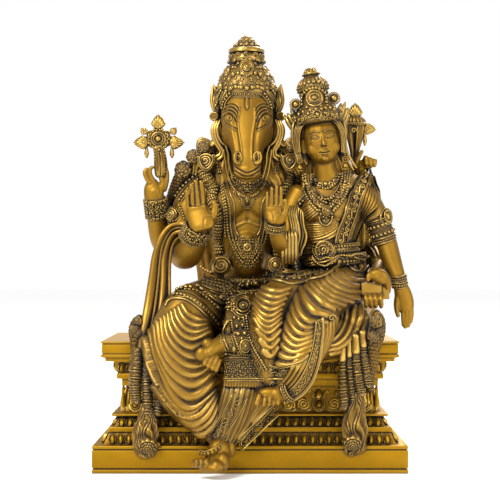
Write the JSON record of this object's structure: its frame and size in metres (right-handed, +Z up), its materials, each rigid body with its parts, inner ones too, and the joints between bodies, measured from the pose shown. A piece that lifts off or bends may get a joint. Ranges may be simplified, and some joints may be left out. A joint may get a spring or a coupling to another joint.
{
  "type": "seated horse-headed deity and consort statue",
  "caption": "Cast statue of a seated many-armed horse-headed deity with a consort on the thigh, on a stepped rectangular throne with a plinth.",
  "frame": {"origin": "middle of the plinth's underside, on the surface that the statue stands on", "axes": "+Z up; the figures face -Y; +X is to the right of a viewer in front, which is the figures' left"},
  "size_m": [0.2194, 0.1565, 0.3045],
  "materials": {
    "antique_gold_throne": "antique gold coat, rubbed bright on edges, dark wash in the recesses",
    "antique_gold_figures": "antique gold coat, rubbed bright on folds and limbs, dark wash in the recesses"
  },
  "bodies": {
    "root": {"throne": "antique_gold_throne", "seated_pair": "antique_gold_figures"}
  },
  "joints": []
}
